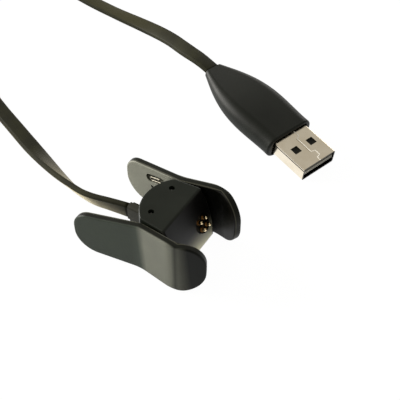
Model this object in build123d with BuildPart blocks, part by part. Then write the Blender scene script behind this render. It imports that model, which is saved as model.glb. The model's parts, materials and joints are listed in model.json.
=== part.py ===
from build123d import *
import math
import os

os.makedirs("parts", exist_ok=True)

# Spring clip charging cable. Lengths are in millimetres and angles in degrees.
# X runs along the clip to the tips of its jaws, Y across the two arms, Z up from the table.

# Arms: two paddle levers, mirror images of each other
tail_reach = 18.6            # pivot axis to the end of the tail
jaw_length = 7.52            # bend to the end of the jaw, along its wall
arm_wall = 2.0
arm_round = 0.45             # rounding of the rims
tail_flare = 7.9             # the tail leans out from the clip's axis
middle_flare = 8.5           # the middle leans out towards the jaw
jaw_curl = 27.0              # the jaw leans back in
neck_x = -0.3                # bend between tail and middle, from the pivot axis
bend_x = 11.0                # bend between middle and jaw
neck_radius = 14.0
bend_radius = 9.0
tail_height = 12.2
neck_height = 15.5
jaw_height = 16.4
shoulder_x = 8.5             # where the top edge reaches its full height
edge_radius = 20.0           # of the bends in the top edge
tail_low_round = 6.3
tail_high_round = 4.8
jaw_low_round = 7.6
jaw_high_round = 6.2

# Block between the arms
block_base = 0.5             # height of its underside
block_top = 16.2
block_rear = 4.7             # rearmost point, behind the pivot axis
block_shoulder_x = -1.15     # where the round back meets the sides
block_rear_half = 7.9
block_front_half = 9.0
block_front_top_x = 6.1
block_front_mid_x = 8.85
block_front_mid_z = 8.9
block_front_low_x = 9.6
crease_round = 0.8
top_round = 0.4
cover_thickness = 1.6
arm_gap = 0.35               # between the block's side and the arm
trim = 1.0                   # cutting shapes reach this far past what they cut

# Pivots and torsion springs
pivot_half = 4.67            # pivot axis to the clip's axis
pin_radius = 0.75
pin_press = 0.02             # clearance round the pin where the block holds it
pin_running = 0.06           # clearance round the pin in the knuckles
pin_recess = 0.8             # end of the pin below the top face
pin_seat = 0.9               # depth of the pin in the cover
pin_chamfer = 0.4
knuckle_radius = 2.4
knuckle_height = 3.2
knuckle_low_z = 3.4
web_width = 3.6
knuckle_clearance = 0.3
spring_wire = 0.5
spring_mean_radius = 1.35
spring_pitch = 0.62
spring_turns = 4.5
spring_end_gap = 0.08        # between the coil and the knuckles
spring_leg_inner = 1.4
spring_hook_front = 1.2      # the long leg's hook lies along the recess, from its middle
spring_hook_rear = -2.2
spring_hook_low = -0.95      # its two runs, from the recess's centre line
spring_hook_high = 0.1
spring_hook_depth = 0.4
spring_hook_round = 0.45
opening_angle = 18.0         # travel of each arm

# Recess in the tail for the spring's leg
recess_x = -8.1
recess_z = 10.6
recess_length = 6.6
recess_width = 2.6
recess_depth = 1.1
recess_tilt = 15.0
ejector_hole_radius = 0.5
ejector_hole_drop = 3.0      # below the recess's middle
ejector_hole_x = -2.2        # from the recess's middle

# Contact carrier: a round boss, its axis tilted up from the horizontal
contact_tilt = 30.0
contact_pitch = 2.2
tip_x = 10.15
tip_y = 4.8
tip_z = 8.7
tip_stop = 0.5               # tip above the boss when it is pressed home
tip_round_share = 0.8        # of the plunger's radius
carrier_radius = 2.6
carrier_depth = 3.8
carrier_clearance = 0.05
recess_ring = 0.4            # recess round the boss
barrel_radius = 0.75
barrel_wall = 0.22
barrel_floor = 0.4
barrel_proud = 0.2
plunger_travel = 1.0
plunger_seat = 1.4           # part of the plunger inside the barrel
contact_spring_wire = 0.14
contact_spring_turns = 6
board_thickness = 0.6
board_width = 8.8
board_height = 5.2
board_shift = 1.8            # the board's centre from the boss, towards the clip's axis
board_clearance = 0.15

# Cable and strain relief
cable_width = 4.6
cable_thickness = 1.7
cable_round = 0.7
cable_exit_z = 6.4
relief_inner_x = -2.4        # inner end of the strain relief
relief_step_x = -9.4
relief_end_x = -10.2
relief_wall = 0.45
relief_step = 0.2
relief_clearance = 0.05
wire_radius = 0.28
wire_pitch = 0.65
wire_channel_height = 1.4
twist_length = 44.0          # the cable's wide side turns from upright to level
twist_step = 3.0
corner_share = 0.45          # of the shorter run that an arc between two runs takes up
cable_lead = 5.0             # straight length out of the plug

# Plug
plug_x = 11.22               # centre of the shell where it leaves the grip
plug_y = 48.05
plug_z = 3.82
plug_turn = -18.4            # heading of the plug in plan
plug_dip = 7.2               # nose down
shell_width = 12.0
shell_height = 4.5
shell_exposed = 12.0
shell_buried = 6.5
shell_wall = 0.3
shell_round = 0.5
window_size = 2.3
window_x = 5.4
window_half = 2.9
tongue_setback = 0.7
tongue_thickness = 1.85
tongue_gap = 0.05
tongue_side_gap = 0.15
contact_strip_width = 1.0
contact_strip_thickness = 0.25
contact_strip_proud = 0.05
contact_strip_setback = 1.2
contact_outer_half = 3.5
contact_inner_half = 1.0
tongue_back_length = 3.0     # the tongue's root fills the shell
grip_length = 33.5
grip_front_width = 16.6
grip_front_thickness = 7.2
grip_shoulder_x = -12.5      # where the grip reaches its full width
grip_shoulder_width = 17.2
grip_shoulder_thickness = 7.4
grip_middle_x = -20.5
grip_middle_width = 15.7
grip_middle_thickness = 6.4
grip_taper_x = -27.5
grip_taper_width = 11.4
grip_taper_thickness = 4.6
grip_neck_width = 6.1
grip_neck_thickness = 2.8
grip_side_share = 0.45       # radius of its sides, of its thickness
grip_front_round = 0.6
mouth_depth = 0.8            # recess round the shell in the grip's front
mouth_margin = 0.6
mouth_round = 1.2
inner_mold_width = 13.2
inner_mold_height = 5.3
inner_mold_length = 15.0

# Coil of the length that is put away
coil_x = -139.0
coil_y = 64.0
coil_radius = 22.5
coil_turns = 1.5
coil_pitch = 2.4
coil_exit = 11.0             # the cable keeps the coil's slope this far past its middle
cable_rest = 0.12            # the cable's underside above the table
coil_checks = 400            # points along the coil where its gap to itself is measured

# Worked out from the sizes above
curl = math.radians(jaw_curl)
jaw_way = Vector(math.cos(curl), -math.sin(curl), 0)
jaw_reach = bend_x + (jaw_length - arm_round) * jaw_way.X + (arm_round - arm_wall / 2) * jaw_way.Y + arm_round
pivot_x = (tail_reach - jaw_reach) / 2
flare = math.radians(tail_flare)
arm_middle_y = block_rear_half + arm_gap + arm_wall / 2
tail_end_y = arm_middle_y + (tail_reach + neck_x) * math.tan(flare)
bend_y = arm_middle_y + (bend_x - neck_x) * math.tan(math.radians(middle_flare))
recess_wall_y = arm_middle_y + (neck_x - recess_x) * math.tan(flare)
cover_top = block_base + cover_thickness
spring_low_z = knuckle_low_z + knuckle_height + spring_end_gap + spring_wire / 2
spring_high_z = spring_low_z + spring_pitch * spring_turns
upper_knuckle_z = spring_high_z + spring_wire / 2 + spring_end_gap
room_low_z = knuckle_low_z - knuckle_clearance
room_height = upper_knuckle_z + knuckle_height + knuckle_clearance - room_low_z
tip_height = plunger_travel + tip_stop
cable_flat_z = cable_thickness / 2 + cable_rest
coil_slope = coil_pitch / (2 * math.pi * coil_radius)
coil_low_z = cable_flat_z + cable_width * coil_slope
coil_high_z = coil_low_z + coil_pitch * coil_turns

# Planes: the clip's, and the two tilted ones of the contacts and of the plug
clip_base = Plane(origin=(pivot_x, 0, 0))
clip_side = Plane(origin=(pivot_x, 0, 0), x_dir=(1, 0, 0), z_dir=(0, -1, 0))
tilt = math.radians(contact_tilt)
boss_way = Vector(math.cos(tilt), 0, math.sin(tilt))
boss_face = Plane(
    origin=Vector(pivot_x + tip_x, tip_y, tip_z) - boss_way * tip_height,
    x_dir=(0, 1, 0),
    z_dir=boss_way,
)
board_face = boss_face.offset(-carrier_depth)
plug_heading = math.radians(plug_turn)
plug_drop = math.radians(plug_dip)
plug_way = Vector(
    math.cos(plug_drop) * math.cos(plug_heading),
    math.cos(plug_drop) * math.sin(plug_heading),
    -math.sin(plug_drop),
)
plug_across = Vector(-math.sin(plug_heading), math.cos(plug_heading), 0)
plug_flat = Plane(
    origin=(pivot_x + plug_x, plug_y, plug_z), x_dir=plug_way, z_dir=plug_way.cross(plug_across)
)
plug_front = Plane(origin=plug_flat.origin, x_dir=plug_across, z_dir=plug_way)

black = (0.05, 0.055, 0.05)
dark = (0.12, 0.12, 0.12)
steel = (0.75, 0.74, 0.7)
gold = (0.85, 0.65, 0.3)
board_green = (0.1, 0.35, 0.15)
sides = ((1, "left"), (-1, "right"))


def save(builder, name, colour):
    builder.part.label = name
    builder.part.color = Color(*colour)
    export_step(builder.part, f"parts/{name}.step")


def quarter_arcs(points, ways):
    # joins each point to the next by two arcs that touch in the middle and keep the given directions
    for start, end, start_way, end_way in zip(points, points[1:], ways, ways[1:]):
        span = end - start
        both = start_way + end_way
        turn = 2 * (1 - start_way.dot(end_way))
        reach = (math.sqrt(span.dot(both) ** 2 + turn * span.dot(span)) - span.dot(both)) / turn
        middle = (start + end + (start_way - end_way) * reach) / 2
        TangentArc(start, middle, tangent=start_way)
        TangentArc(middle, end, tangent=span - both * reach)


def winding(plane, radius, pitch, turns, way, lead=0.0):
    # a winding from the plane's X axis, of half turns, with straight leads; way is 1 or -1
    steps = round(turns * 2)
    points = []
    ways = []
    for step in range(steps + 1):
        place = way * step * math.pi
        run = Vector(-way * math.sin(place) * radius, way * math.cos(place) * radius, pitch / math.tau)
        spot = (radius * math.cos(place), radius * math.sin(place), pitch * step / 2)
        points.append(plane.from_local_coords(Vector(*spot)))
        ways.append((plane.from_local_coords(run) - plane.origin).normalized())
    if lead:
        Line(points[0] - ways[0] * lead, points[0])
    quarter_arcs(points, ways)
    if lead:
        Line(points[-1], points[-1] + ways[-1] * lead)


# Arms with their knuckles
def arm_rims(part, jaw_face):
    # every edge but those across the wall and the upright bends between the faces
    across = part.edges().filter_by(Axis.Y) + part.edges().filter_by(Axis((0, 0, 0), jaw_face.z_dir))
    tail_end = part.faces().sort_by(Axis.X)[0]
    jaw_end = part.faces().sort_by(Axis(jaw_face.origin, jaw_face.x_dir))[-1]
    bends = part.edges().filter_by(Axis.Z) - tail_end.edges() - jaw_end.edges()
    return part.edges() - across - bends


def recess_face(side):
    # the tail's inner face, about the middle of its recess, with its X axis along the recess
    face_way = Vector(-math.sin(flare), -side * math.cos(flare), 0)
    along = Vector(math.cos(flare), -side * math.sin(flare), 0)
    slope = math.radians(recess_tilt)
    return Plane(
        origin=Vector(pivot_x + recess_x, side * recess_wall_y, recess_z) + face_way * (arm_wall / 2),
        x_dir=along * math.cos(slope) + Vector(0, 0, 1) * math.sin(slope),
        z_dir=face_way,
    )


def make_arm(side):
    jaw_face = Plane(
        origin=(pivot_x + bend_x, side * bend_y, 0),
        x_dir=(jaw_way.X, side * jaw_way.Y, 0),
        z_dir=(side * jaw_way.Y, -jaw_way.X, 0),
    )
    beyond = tail_reach + jaw_length
    with BuildPart() as arm:
        with BuildSketch(clip_base):
            with BuildLine():
                FilletPolyline(
                    (-tail_reach - trim, side * (tail_end_y + trim * math.tan(flare))),
                    (neck_x, side * arm_middle_y),
                    (bend_x, side * bend_y),
                    (
                        bend_x + (jaw_length + trim) * jaw_way.X,
                        side * (bend_y + (jaw_length + trim) * jaw_way.Y),
                    ),
                    radius=[neck_radius, bend_radius],
                )
            trace(line_width=arm_wall)
        extrude(amount=jaw_height + trim)
        with BuildSketch(clip_side):
            with BuildLine():
                outline = FilletPolyline(
                    (beyond, 0),
                    (-tail_reach, 0),
                    (-tail_reach, tail_height),
                    (neck_x, neck_height),
                    (shoulder_x, jaw_height),
                    (beyond, jaw_height),
                    radius=[tail_low_round, tail_high_round, edge_radius, edge_radius],
                )
                Line(outline @ 1, outline @ 0)
            make_face()
        extrude(amount=2 * tail_end_y, both=True, mode=Mode.INTERSECT)
        with BuildSketch(jaw_face):
            with BuildLine():
                outline = FilletPolyline(
                    (-2 * tail_reach, jaw_height),
                    (jaw_length, jaw_height),
                    (jaw_length, 0),
                    (-2 * tail_reach, 0),
                    radius=[jaw_high_round, jaw_low_round],
                )
                Line(outline @ 1, outline @ 0)
            make_face()
        extrude(amount=2 * tail_end_y, both=True, mode=Mode.INTERSECT)
        fillet(arm_rims(arm.part, jaw_face), arm_round)
        with BuildSketch(recess_face(side)):
            SlotOverall(recess_length, recess_width)
            with Locations((ejector_hole_x, -side * ejector_hole_drop)):
                Circle(ejector_hole_radius)
        extrude(amount=-recess_depth, mode=Mode.SUBTRACT)
        for knuckle_z in (knuckle_low_z, upper_knuckle_z):
            with BuildSketch(clip_base.offset(knuckle_z)):
                with Locations((0, side * pivot_half)):
                    Circle(knuckle_radius)
                with Locations((0, side * (pivot_half + arm_middle_y) / 2)):
                    Rectangle(web_width, arm_middle_y - pivot_half)
                with Locations((0, side * pivot_half)):
                    Circle(pin_radius + pin_running, mode=Mode.SUBTRACT)
            extrude(amount=knuckle_height)
    return arm


for side, name in sides:
    save(make_arm(side), f"{name}_arm", black)

# Pivot pins: blind in the cover, below the top face of the block
for side, name in sides:
    with BuildPart() as pivot_pin:
        with BuildSketch(clip_base.offset(cover_top - pin_seat)):
            with Locations((0, side * pivot_half)):
                Circle(pin_radius)
        extrude(amount=block_top - pin_recess - cover_top + pin_seat)
        chamfer(pivot_pin.edges().sort_by(Axis.Z)[-1], pin_chamfer)
    save(pivot_pin, f"{name}_pivot_pin", steel)


# Torsion springs: a coil round each pin, one leg in the tail's recess, one against the block
def make_leg(*points):
    with BuildPart() as leg:
        with BuildLine() as run:
            if len(points) > 2:
                FilletPolyline(*points, radius=spring_hook_round)
            else:
                Line(*points)
        with BuildSketch(Plane(origin=run.line @ 0, z_dir=run.line % 0)):
            Circle(spring_wire / 2)
        sweep(path=run.line)
        with Locations(points[0]):
            Sphere(spring_wire / 2)
    return leg.part


def make_torsion_spring(side):
    coil_base = Plane(origin=(pivot_x, side * pivot_half, spring_low_z))
    hook_spots = (
        (spring_hook_front, spring_hook_low),
        (spring_hook_rear, spring_hook_low),
        (spring_hook_rear, spring_hook_high),
        (spring_hook_front, spring_hook_high),
    )
    hook = [
        recess_face(side).from_local_coords(Vector(along, side * height, -spring_hook_depth))
        for along, height in hook_spots
    ]
    with BuildPart() as spring:
        with BuildLine() as coil:
            winding(coil_base, spring_mean_radius, spring_pitch, spring_turns, -side)
        with BuildSketch(Plane(origin=coil.line @ 0, z_dir=coil.line % 0)):
            Circle(spring_wire / 2)
        sweep(path=coil.line)
        add(make_leg(coil.line @ 0, coil.line @ 0 - (coil.line % 0) * spring_leg_inner))
        add(make_leg(coil.line @ 1, *hook))
    return spring


for side, name in sides:
    save(make_torsion_spring(side), f"{name}_torsion_spring", steel)


# Block: D-shaped in plan, with a curved front
def block_form(low, high):
    front = block_front_low_x + trim
    with BuildPart() as form:
        with BuildSketch(clip_base.offset(low)):
            with BuildLine():
                ThreePointArc(
                    (block_shoulder_x, -block_rear_half),
                    (-block_rear, 0),
                    (block_shoulder_x, block_rear_half),
                )
                Polyline(
                    (block_shoulder_x, block_rear_half),
                    (front, block_front_half),
                    (front, -block_front_half),
                    (block_shoulder_x, -block_rear_half),
                )
            make_face()
        extrude(amount=high - low)
        with BuildSketch(clip_side):
            with BuildLine():
                ThreePointArc(
                    (block_front_low_x, block_base),
                    (block_front_mid_x, block_front_mid_z),
                    (block_front_top_x, block_top),
                )
                Polyline(
                    (block_front_top_x, block_top),
                    (-block_rear - trim, block_top),
                    (-block_rear - trim, block_base),
                    (block_front_low_x, block_base),
                )
            make_face()
        extrude(amount=block_front_half + trim, both=True, mode=Mode.INTERSECT)
    return form.part


def pivot_room(side):
    # room in the block for one arm's knuckles and web to turn in, with the hole for the pin
    web_swing = (block_front_half - pivot_half) * math.sin(math.radians(opening_angle))
    low_x = -web_width / 2 - knuckle_clearance - web_swing
    high_x = web_width / 2 + knuckle_clearance
    with BuildPart() as room:
        with BuildSketch(clip_base.offset(room_low_z)):
            with Locations((0, side * pivot_half)):
                Circle(knuckle_radius + knuckle_clearance)
            with Locations(((low_x + high_x) / 2, side * (pivot_half + block_front_half / 2))):
                Rectangle(high_x - low_x, block_front_half)
        extrude(amount=room_height)
        with BuildSketch(clip_base.offset(cover_top)):
            with Locations((0, side * pivot_half)):
                Circle(pin_radius + pin_press)
        extrude(amount=block_top - cover_top)
    return room.part


relief_slot = Plane(origin=(pivot_x + relief_inner_x, 0, cable_exit_z), x_dir=(0, 1, 0), z_dir=(-1, 0, 0))
relief_across = cable_thickness + 2 * relief_wall
relief_tall = cable_width + 2 * relief_wall
board_middle = (-board_shift, 0)
slot_across = board_width + 2 * board_clearance
slot_tall = board_height + 2 * board_clearance
# the wires end where they touch the back of the tilted board
board_back = board_face.offset(-board_thickness).origin
wire_end_x = board_back.X + (board_back.Z - cable_exit_z - wire_radius) * math.tan(tilt)
wire_length = wire_end_x - pivot_x - relief_inner_x
block_blank = block_form(cover_top, block_top)
cover_blank = block_form(block_base, cover_top)
pivot_rooms = [pivot_room(side) for side, name in sides]

with BuildPart() as contact_block:
    add(block_blank)
    crease = contact_block.faces().sort_by(Axis.Z)[-1].edges().sort_by(Axis.X)[-1]
    fillet(crease, crease_round)
    rear_edges = contact_block.faces().sort_by(Axis.Z)[-1].edges().sort_by(Axis.X)[:-1]
    fillet(rear_edges, top_round)
    add(pivot_rooms, mode=Mode.SUBTRACT)
    with BuildSketch(board_face):
        Circle(carrier_radius + carrier_clearance)
    extrude(amount=carrier_depth, mode=Mode.SUBTRACT)
    with BuildSketch(boss_face):
        Circle(carrier_radius + recess_ring)
    extrude(amount=2 * carrier_radius, mode=Mode.SUBTRACT)
    with BuildSketch(board_face):
        with Locations(board_middle, (board_middle[0], -board_height)):
            Rectangle(slot_across, slot_tall)
    extrude(amount=-board_thickness - board_clearance, mode=Mode.SUBTRACT)
    with BuildSketch(relief_slot):
        RectangleRounded(
            relief_across + 2 * relief_clearance, relief_tall + 2 * relief_clearance, cable_round
        )
    extrude(amount=block_rear, mode=Mode.SUBTRACT)
    with BuildSketch(relief_slot):
        Rectangle(relief_across, wire_channel_height)
    extrude(amount=-wire_length, mode=Mode.SUBTRACT)
save(contact_block, "contact_block", black)

with BuildPart() as bottom_cover:
    add(cover_blank)
    with BuildSketch(clip_base.offset(cover_top)):
        with Locations((0, pivot_half), (0, -pivot_half)):
            Circle(pin_radius + pin_press)
    extrude(amount=-pin_seat, mode=Mode.SUBTRACT)
save(bottom_cover, "bottom_cover", black)

# Contact carrier with its barrels, and the sprung tips inside them
barrel_depth = carrier_depth + barrel_proud - barrel_floor
spring_room = carrier_depth - barrel_floor - plunger_seat
contact_half = contact_pitch / 2
contact_places = [(x * contact_half, y * contact_half) for y in (1, -1) for x in (1, -1)]
with BuildPart() as contact_carrier:
    with BuildSketch(board_face):
        Circle(carrier_radius)
        with Locations(*contact_places):
            Circle(barrel_radius + pin_press, mode=Mode.SUBTRACT)
    extrude(amount=carrier_depth)
save(contact_carrier, "contact_carrier", dark)

with BuildPart() as pogo_barrels:
    with BuildSketch(board_face):
        with Locations(*contact_places):
            Circle(barrel_radius)
    extrude(amount=carrier_depth + barrel_proud)
    with BuildSketch(board_face.offset(barrel_floor)):
        with Locations(*contact_places):
            Circle(barrel_radius - barrel_wall)
    extrude(amount=barrel_depth, mode=Mode.SUBTRACT)
save(pogo_barrels, "pogo_barrels", gold)

plunger_radius = barrel_radius - barrel_wall - pin_running
for number, place in enumerate(contact_places, 1):
    with BuildPart() as pogo_plunger:
        with BuildSketch(boss_face.offset(-plunger_seat)):
            with Locations(place):
                Circle(plunger_radius)
        extrude(amount=plunger_seat + tip_height)
        tip_edge = pogo_plunger.edges().sort_by(Axis(boss_face.origin, boss_way))[-1]
        fillet(tip_edge, plunger_radius * tip_round_share)
    save(pogo_plunger, f"pogo_plunger_{number}", gold)

for number, (place_x, place_y) in enumerate(contact_places, 1):
    wire = contact_spring_wire
    base_z = barrel_floor - carrier_depth + wire / 2
    spring_axis = Plane(
        origin=boss_face.from_local_coords(Vector(place_x, place_y, base_z)),
        x_dir=boss_face.x_dir,
        z_dir=boss_way,
    )
    with BuildPart() as pogo_spring:
        with BuildLine() as coil:
            pitch = (spring_room - wire) / contact_spring_turns
            winding(spring_axis, plunger_radius - wire / 2, pitch, contact_spring_turns, 1)
        with BuildSketch(Plane(origin=coil.line @ 0, z_dir=coil.line % 0)):
            Circle(wire / 2)
        sweep(path=coil.line)
    save(pogo_spring, f"pogo_spring_{number}", steel)

# Circuit board behind the carrier, and the wires to it
with BuildPart() as circuit_board:
    with BuildSketch(board_face):
        with Locations(board_middle):
            Rectangle(board_width, board_height)
    extrude(amount=-board_thickness)
save(circuit_board, "circuit_board", board_green)

with BuildPart() as signal_wires:
    with BuildSketch(relief_slot):
        with GridLocations(wire_pitch, 1, 4, 1):
            Circle(wire_radius)
    extrude(amount=-wire_length)
save(signal_wires, "signal_wires", gold)

# Strain relief in the back of the block
with BuildPart() as strain_relief:
    with BuildSketch(relief_slot):
        RectangleRounded(relief_across, relief_tall, cable_round)
    extrude(amount=relief_inner_x - relief_step_x)
    with BuildSketch(relief_slot):
        RectangleRounded(relief_across - 2 * relief_step, relief_tall - 2 * relief_step, cable_round)
    extrude(amount=relief_inner_x - relief_end_x)
save(strain_relief, "strain_relief", black)

# Cable: two free stretches of a flat cable and the coil between them.
# The routes are points from the clip to the coil and from the coil to the plug,
# with X from the pivot axis.
plug_neck = plug_flat.from_local_coords(Vector(-grip_length, 0, 0))
plug_lead = plug_flat.from_local_coords(Vector(-grip_length - cable_lead, 0, 0))
clip_route = [
    (relief_end_x, 0, cable_exit_z),
    (-15.2, 0, cable_exit_z),
    (-22.5, -0.5, 5.0),
    (-29.5, 0.7, 3.6),
    (-36, 3, 2.4),
    (-43.5, 6.1, 1.5),
    (-51.8, 9.5, cable_flat_z),
    (-60.3, 13.1, cable_flat_z),
    (-69.2, 16.9, cable_flat_z),
    (-80, 22, cable_flat_z),
    (-91, 27.7, cable_flat_z),
    (-103, 33, cable_flat_z),
    (-115, 38.6, cable_flat_z),
    (-126, coil_y - coil_radius, cable_flat_z),
    (coil_x + cable_width, coil_y - coil_radius, cable_flat_z),
]
plug_route = [
    (coil_x + cable_width, coil_y + coil_radius, coil_high_z + cable_width * coil_slope),
    (coil_x + coil_exit, coil_y + coil_radius, coil_high_z + coil_exit * coil_slope),
    (-118, 85.4, 3.4),
    (-106, 82.3, 1.5),
    (-93, 79.2, cable_flat_z),
    (-80.2, 76.6, cable_flat_z),
    (-66.8, 74.9, 1.1),
    (-54.5, 72.9, 2.2),
    (-42.5, 68.7, 4.7),
    (-33.2, 64.2, 7.5),
    (plug_lead.X - pivot_x, plug_lead.Y, plug_lead.Z),
    (plug_neck.X - pivot_x, plug_neck.Y, plug_neck.Z),
]


def cable_path(route):
    # straight runs joined by arcs, each as large as the two runs beside it allow
    points = [Vector(pivot_x + x, y, z) for x, y, z in route]
    radii = []
    for before, corner, after in zip(points, points[1:], points[2:]):
        first = corner - before
        second = after - corner
        half_turn = math.radians(first.get_angle(second)) / 2
        radii.append(corner_share * min(first.length, second.length) / math.tan(half_turn))
    print("runs", [round((b - a).length, 1) for a, b in zip(points, points[1:])])
    print("radii", [round(radius, 1) for radius in radii])
    return points, radii


def cable_section(place, along, roll):
    # the flat section, its wide side level at roll 0 and upright at 90
    level = Vector(0, 0, 1).cross(along).normalized()
    turn = math.radians(roll)
    wide_way = level * math.cos(turn) + along.cross(level) * math.sin(turn)
    return Plane(origin=place, x_dir=wide_way, z_dir=along)


def check_cable(builder, length):
    section = cable_width * cable_thickness - (4 - math.pi) * cable_round**2
    print("volume", round(builder.part.volume, 1), "section times length", round(section * length, 1))


clip_points, clip_radii = cable_path(clip_route)
with BuildPart() as cable_run_clip:
    with BuildLine():
        line = FilletPolyline(*clip_points, radius=clip_radii)
    twist_share = twist_length / line.length
    steps = round(twist_length / twist_step)
    for step in range(steps + 1):
        share = twist_share * step / steps
        with BuildSketch(cable_section(line @ share, line % share, 90 * (1 - step / steps))):
            RectangleRounded(cable_width, cable_thickness, cable_round)
    loft(ruled=True)
    with BuildSketch(cable_section(line @ twist_share, line % twist_share, 0)):
        RectangleRounded(cable_width, cable_thickness, cable_round)
    sweep(path=line.trim(twist_share, 1))
check_cable(cable_run_clip, line.length)
save(cable_run_clip, "cable_run_clip", black)

plug_points, plug_radii = cable_path(plug_route)
with BuildPart() as cable_run_plug:
    with BuildLine():
        line = FilletPolyline(*plug_points, radius=plug_radii)
    with BuildSketch(cable_section(line @ 0, line % 0, 0)):
        RectangleRounded(cable_width, cable_thickness, cable_round)
    sweep(path=line)
check_cable(cable_run_plug, line.length)
save(cable_run_plug, "cable_run_plug", black)

coil_base = Plane(origin=(pivot_x + coil_x, coil_y, coil_low_z), x_dir=(0, -1, 0), z_dir=(0, 0, 1))
with BuildPart() as cable_coil:
    with BuildLine() as coil_path:
        winding(coil_base, coil_radius, coil_pitch, coil_turns, -1, lead=cable_width)
    with BuildSketch(cable_section(coil_path.line @ 0, coil_path.line % 0, 0)):
        RectangleRounded(cable_width, cable_thickness, cable_round)
    sweep(path=coil_path.line)
coil_wire = coil_path.wire()
check_cable(cable_coil, coil_wire.length)
# the least gap of the coil to itself, from points a turn apart or nearly so
coil_points = [coil_wire @ (number / coil_checks) for number in range(coil_checks + 1)]
turn_points = coil_checks * math.tau * coil_radius / coil_wire.length
least = min(
    (there - here).length
    for number, here in enumerate(coil_points)
    for there in coil_points[number + round(turn_points / 2):]
)
print("least gap of the coil", round(least - cable_thickness, 2))
save(cable_coil, "cable_coil", black)


# Plug: grip and inner mould, shell, and the tongue with its contacts
def plug_box(low_x, high_x, across, tall, middle_z=0.0, middle_y=0.0):
    with BuildPart() as box:
        with BuildSketch(plug_front.offset(low_x)):
            with Locations((middle_y, middle_z)):
                Rectangle(across, tall)
        extrude(amount=high_x - low_x)
    return box.part


mould_front = -mouth_depth
mould_back = mould_front - inner_mold_length
shell_hole = plug_box(-shell_buried, shell_exposed, shell_width, shell_height)
mould_space = plug_box(mould_back, mould_front, inner_mold_width, inner_mold_height)
grip_sections = (
    (-grip_length, grip_neck_width, grip_neck_thickness),
    (grip_taper_x, grip_taper_width, grip_taper_thickness),
    (grip_middle_x, grip_middle_width, grip_middle_thickness),
    (grip_shoulder_x, grip_shoulder_width, grip_shoulder_thickness),
    (0, grip_front_width, grip_front_thickness),
)

with BuildPart() as plug_overmold:
    for back, width, thickness in grip_sections:
        with BuildSketch(plug_front.offset(back)):
            RectangleRounded(width, thickness, thickness * grip_side_share)
    loft()
    front_face = plug_overmold.faces().sort_by(Axis(plug_flat.origin, plug_way))[-1]
    fillet(front_face.edges(), grip_front_round)
    add(mould_space, mode=Mode.SUBTRACT)
    with BuildSketch(plug_front.offset(mould_front)):
        RectangleRounded(shell_width + 2 * mouth_margin, shell_height + 2 * mouth_margin, mouth_round)
    extrude(amount=mouth_depth + trim, mode=Mode.SUBTRACT)
save(plug_overmold, "plug_overmold", black)

with BuildPart() as plug_inner_mold:
    add(mould_space)
    add(shell_hole, mode=Mode.SUBTRACT)
save(plug_inner_mold, "plug_inner_mold", dark)

with BuildPart() as usb_shell:
    with BuildSketch(plug_front.offset(-shell_buried)):
        RectangleRounded(shell_width, shell_height, shell_round)
        inner_round = shell_round - shell_wall
        RectangleRounded(
            shell_width - 2 * shell_wall, shell_height - 2 * shell_wall, inner_round, mode=Mode.SUBTRACT
        )
    extrude(amount=shell_buried + shell_exposed)
    with BuildSketch(plug_flat):
        with Locations((window_x, window_half), (window_x, -window_half)):
            Rectangle(window_size, window_size)
    extrude(amount=shell_height, both=True, mode=Mode.SUBTRACT)
save(usb_shell, "usb_shell", steel)

tongue_top = shell_height / 2 - shell_wall - tongue_gap
tongue_low = tongue_top - tongue_thickness
tongue_end = shell_exposed - tongue_setback
tongue_width = shell_width - 2 * shell_wall - 2 * tongue_side_gap
strip_places = (-contact_outer_half, -contact_inner_half, contact_inner_half, contact_outer_half)
strips = [
    plug_box(
        -shell_buried,
        tongue_end - contact_strip_setback,
        contact_strip_width,
        contact_strip_thickness,
        tongue_low + contact_strip_thickness / 2 - contact_strip_proud,
        place,
    )
    for place in strip_places
]
tongue = plug_box(
    -shell_buried, tongue_end, tongue_width, tongue_thickness, tongue_low + tongue_thickness / 2
)
back_height = shell_height - 2 * shell_wall - 2 * tongue_gap
tongue_back = plug_box(-shell_buried, -shell_buried + tongue_back_length, tongue_width, back_height)
with BuildPart() as usb_insulator:
    add(tongue)
    add(tongue_back)
    add(strips, mode=Mode.SUBTRACT)
save(usb_insulator, "usb_insulator", (0.6, 0.6, 0.6))

with BuildPart() as usb_contacts:
    add(strips)
save(usb_contacts, "usb_contacts", gold)
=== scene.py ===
import bpy
import bmesh
import json
import math
from mathutils import Euler, Matrix, Vector


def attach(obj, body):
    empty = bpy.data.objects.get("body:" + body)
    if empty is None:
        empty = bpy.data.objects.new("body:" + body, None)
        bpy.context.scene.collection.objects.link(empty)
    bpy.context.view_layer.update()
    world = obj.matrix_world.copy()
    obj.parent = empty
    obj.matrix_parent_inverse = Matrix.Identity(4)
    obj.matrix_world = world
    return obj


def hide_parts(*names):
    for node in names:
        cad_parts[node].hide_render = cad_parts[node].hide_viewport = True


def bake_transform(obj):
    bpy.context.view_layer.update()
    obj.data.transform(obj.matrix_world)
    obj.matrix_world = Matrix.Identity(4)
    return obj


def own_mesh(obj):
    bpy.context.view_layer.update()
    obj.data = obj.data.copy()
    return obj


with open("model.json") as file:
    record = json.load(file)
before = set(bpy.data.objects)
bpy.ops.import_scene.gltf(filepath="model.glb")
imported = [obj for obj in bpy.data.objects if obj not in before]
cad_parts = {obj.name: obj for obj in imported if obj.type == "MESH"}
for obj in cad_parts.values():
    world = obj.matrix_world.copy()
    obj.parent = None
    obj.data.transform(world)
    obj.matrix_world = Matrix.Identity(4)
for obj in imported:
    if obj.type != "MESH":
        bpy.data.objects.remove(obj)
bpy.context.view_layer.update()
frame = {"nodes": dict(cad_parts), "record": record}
nodes = frame["nodes"]
rootBody = "block"
mm = 0.001
pivotX = 0.3                     # the arms' pivots, along the clip


def placeObject(name, data):
    item = bpy.data.objects.new(name, data)
    bpy.context.scene.collection.objects.link(item)
    return item


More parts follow.
